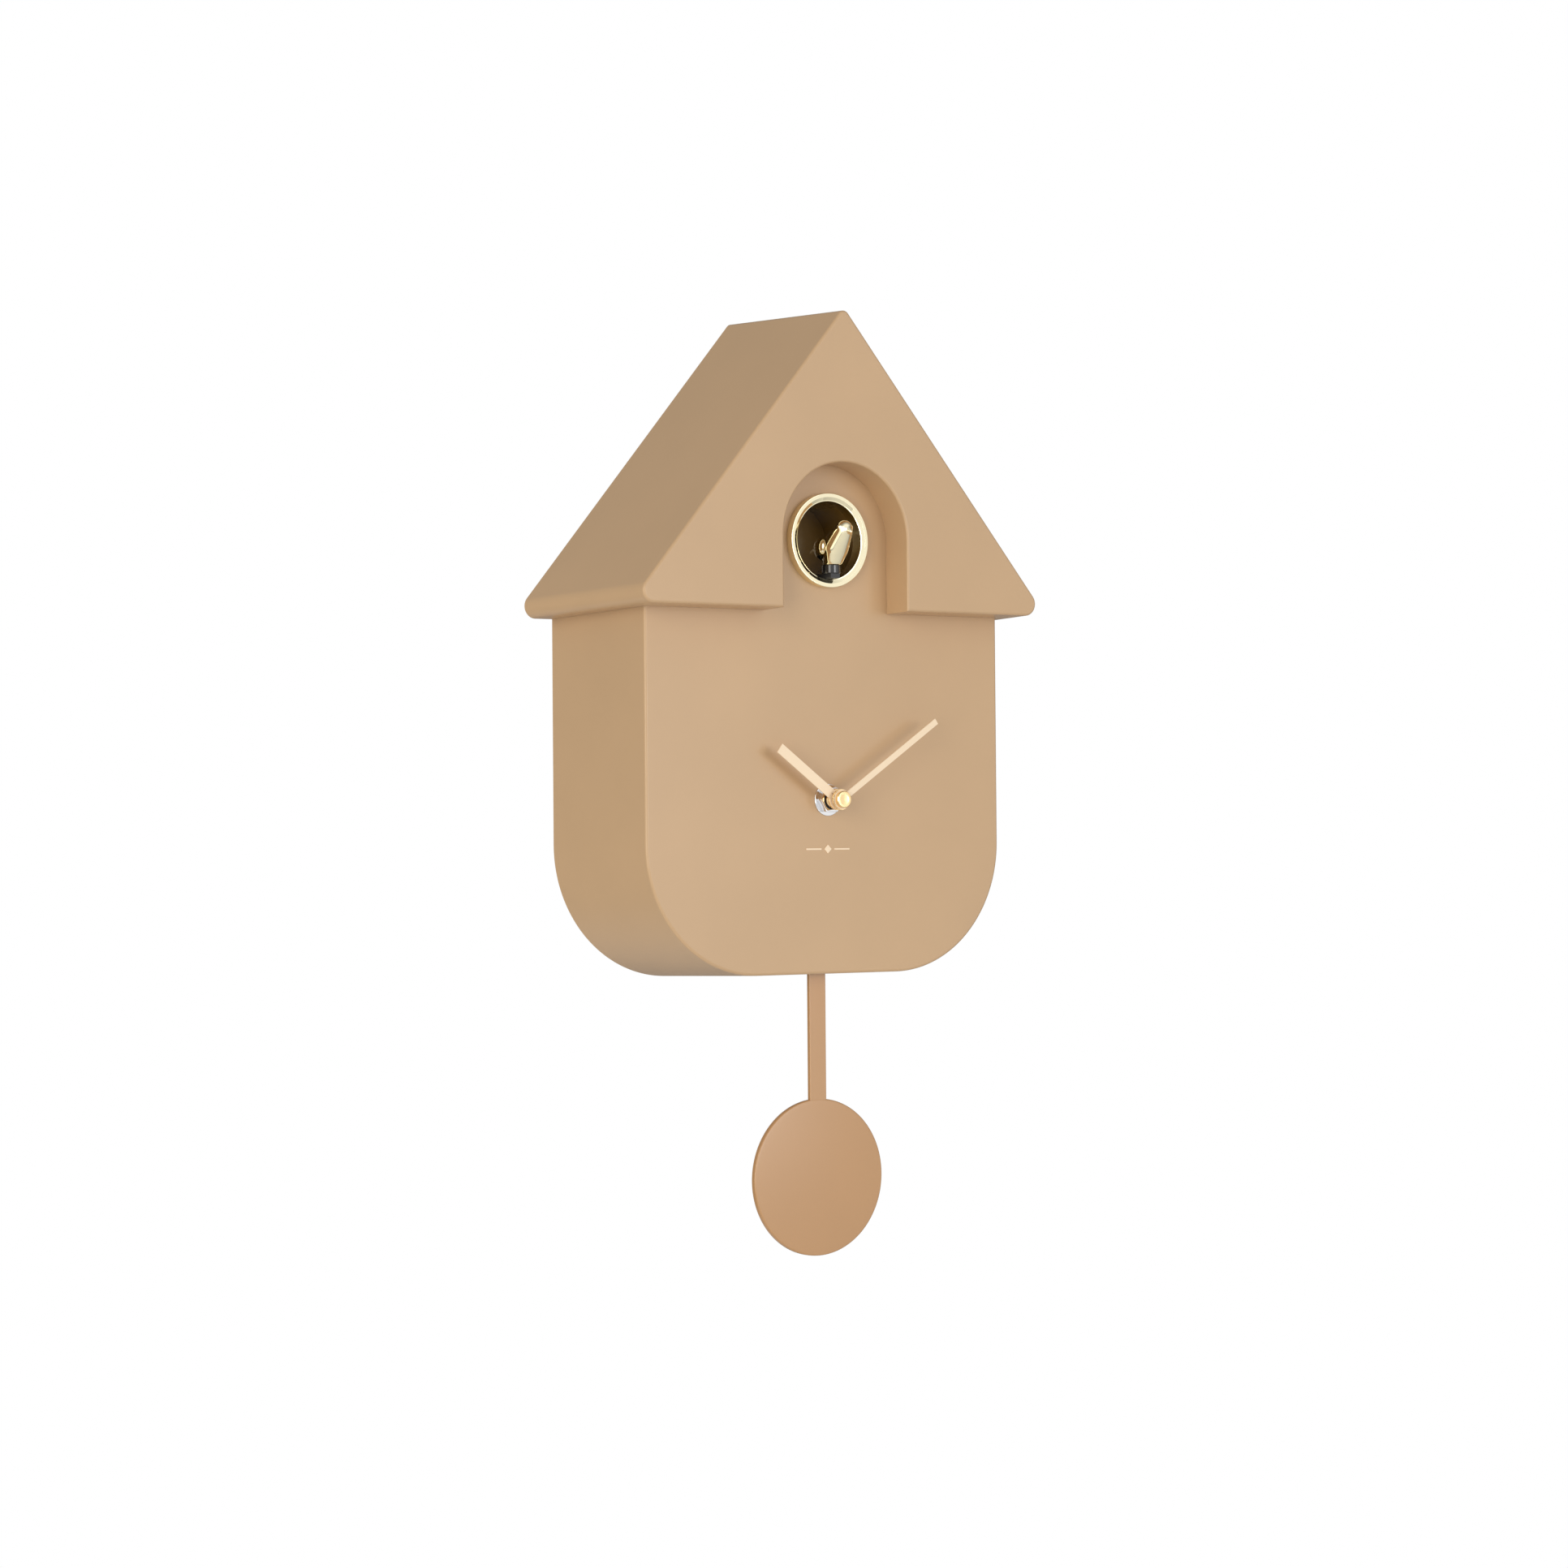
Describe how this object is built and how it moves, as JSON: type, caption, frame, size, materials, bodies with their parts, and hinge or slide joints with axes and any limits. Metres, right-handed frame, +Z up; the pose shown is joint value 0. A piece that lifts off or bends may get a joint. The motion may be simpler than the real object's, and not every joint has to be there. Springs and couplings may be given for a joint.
{
  "type": "cuckoo clock",
  "caption": "Modern wall cuckoo clock with a gabled roof over a round-bottomed body, an arched window with a gold bird, bar hands and a disc pendulum.",
  "frame": {"origin": "centre of the hanger plate's screw-head hole, in the plane of the wall", "axes": "+Z up along the wall, +Y into the wall, the dial faces -Y, +X to the viewer's right"},
  "size_m": [0.2168, 0.0897, 0.4084],
  "materials": {
    "shell": "satin",
    "cover": "satin",
    "pendulum": "satin",
    "cream": "satin",
    "gold": "mirror polished",
    "brass": "polished",
    "chrome": "polished",
    "steel": "brushed",
    "magnet": "dull",
    "black_plastic": "fine grain",
    "black_gloss": "gloss",
    "brown_gloss": "gloss",
    "white_plastic": "moulded",
    "board": "solder mask",
    "copper": "enamelled wire",
    "paper": "matt",
    "cell_wrap": "gloss film"
  },
  "bodies": {
    "root": {"body_shell": "shell", "roof_shell": "shell", "body_cover": "cover", "roof_cover": "cover", "cover_screws": "steel", "hanger_plate": "steel", "hanger_screws": "steel", "window_ring": "gold", "bird_tunnel": "brown_gloss", "dial_ornament": "cream", "cuckoo_frame": "black_plastic", "frame_screws": "steel", "cuckoo_motor": "steel", "movement_case": "black_plastic", "movement_cover": "black_plastic", "gear_plate": "brass", "neck_washer": "chrome", "neck_nut": "chrome", "circuit_board": "board", "motor_coil": "copper", "stator": "steel", "pendulum_bracket": "black_plastic", "pendulum_pivot": "steel", "drive_coil": "copper", "sound_board": "board", "speaker_frame": "black_plastic", "speaker_cone": "paper", "speaker_magnet": "magnet", "battery_tray": "black_plastic", "battery_cells": "cell_wrap", "battery_springs": "steel"},
    "minute": {"minute_arbor": "brass", "minute_bushing": "brass", "minute_hand": "cream", "hand_cap": "brass"},
    "hour": {"hour_wheel": "white_plastic", "hour_bushing": "brass", "hour_hand": "cream"},
    "minute_wheel": {"minute_wheel": "white_plastic"},
    "knob": {"setting_knob": "black_plastic"},
    "second": {"second_wheel": "brass"},
    "rotor": {"rotor": "magnet"},
    "intermediate": {"intermediate_wheel": "white_plastic"},
    "third": {"third_wheel": "brass"},
    "centre": {"centre_wheel": "brass"},
    "pendulum": {"pendulum_hanger": "white_plastic", "pendulum_rod": "pendulum", "pendulum_disc": "pendulum", "swing_magnet": "magnet"},
    "bird_carriage": {"bird": "gold", "perch": "black_gloss", "carriage": "black_plastic"},
    "carriage_gear": {"carriage_gear": "white_plastic"},
    "reduction": {"reduction_gear": "white_plastic"},
    "motor_shaft": {"motor_pinion": "brass"},
    "door": {"battery_door": "cover"},
    "switch": {"sound_switch": "white_plastic"}
  },
  "joints": [
    {"name": "minute_turn", "type": "hinge", "parent": "root", "child": "minute", "pos_m": [0, -0.07, -0.1634], "axis": [0, 1, 0], "continuous": true},
    {"name": "hour_turn", "type": "hinge", "parent": "root", "child": "hour", "pos_m": [0, -0.07, -0.1634], "axis": [0, 1, 0], "continuous": true},
    {"name": "minute_wheel_turn", "type": "hinge", "parent": "root", "child": "minute_wheel", "pos_m": [-0.00849, -0.064, -0.17189], "axis": [0, 1, 0], "continuous": true},
    {"name": "knob_turn", "type": "hinge", "parent": "root", "child": "knob", "pos_m": [-0.00849, -0.03, -0.18389], "axis": [0, 1, 0], "continuous": true},
    {"name": "second_turn", "type": "hinge", "parent": "root", "child": "second", "pos_m": [0.01118, -0.058, -0.15307], "axis": [0, 1, 0], "continuous": true},
    {"name": "rotor_turn", "type": "hinge", "parent": "root", "child": "rotor", "pos_m": [0.01818, -0.056, -0.16686], "axis": [0, 1, 0], "continuous": true},
    {"name": "intermediate_turn", "type": "hinge", "parent": "root", "child": "intermediate", "pos_m": [0.01697, -0.057, -0.15996], "axis": [0, 1, 0], "continuous": true},
    {"name": "third_turn", "type": "hinge", "parent": "root", "child": "third", "pos_m": [0, -0.058, -0.149], "axis": [0, 1, 0], "continuous": true},
    {"name": "centre_turn", "type": "hinge", "parent": "root", "child": "centre", "pos_m": [0, -0.06, -0.1634], "axis": [0, 1, 0], "continuous": true},
    {"name": "pendulum_swing", "type": "hinge", "parent": "root", "child": "pendulum", "pos_m": [0, -0.06, -0.2], "axis": [0, 1, 0], "range_deg": [-8, 8]},
    {"name": "bird_slide", "type": "slide", "parent": "root", "child": "bird_carriage", "axis": [0, -1, 0], "range_m": [-0.01, 0.014]},
    {"name": "carriage_gear_turn", "type": "hinge", "parent": "root", "child": "carriage_gear", "pos_m": [0, -0.033, -0.0729], "axis": [1, 0, 0], "range_deg": [-175, 240]},
    {"name": "reduction_turn", "type": "hinge", "parent": "root", "child": "reduction", "pos_m": [0, -0.033, -0.0864], "axis": [1, 0, 0], "range_deg": [-830, 600]},
    {"name": "motor_turn", "type": "hinge", "parent": "root", "child": "motor_shaft", "pos_m": [0, -0.033, -0.0956], "axis": [1, 0, 0], "range_deg": [-2100, 2950]},
    {"name": "door_hinge", "type": "hinge", "parent": "root", "child": "door", "pos_m": [-0.0535, -0.00125, -0.1521], "axis": [-1, 0, 0], "range_deg": [0, 90]},
    {"name": "switch_slide", "type": "slide", "parent": "root", "child": "switch", "axis": [1, 0, 0], "range_m": [0, 0.004]}
  ],
  "couplings": [
    {"joint": "hour_turn", "follows": "minute_turn", "ratio": 0.083333},
    {"joint": "minute_wheel_turn", "follows": "minute_turn", "ratio": -0.33333},
    {"joint": "knob_turn", "follows": "minute_turn", "ratio": 1},
    {"joint": "intermediate_turn", "follows": "rotor_turn", "ratio": -0.16667},
    {"joint": "second_turn", "follows": "rotor_turn", "ratio": 0.033333},
    {"joint": "third_turn", "follows": "rotor_turn", "ratio": -0.0044444},
    {"joint": "centre_turn", "follows": "rotor_turn", "ratio": 0.00055556},
    {"joint": "carriage_gear_turn", "follows": "bird_slide", "rad_per_m": 285.71},
    {"joint": "reduction_turn", "follows": "bird_slide", "rad_per_m": -1000},
    {"joint": "motor_turn", "follows": "bird_slide", "rad_per_m": 3600}
  ]
}
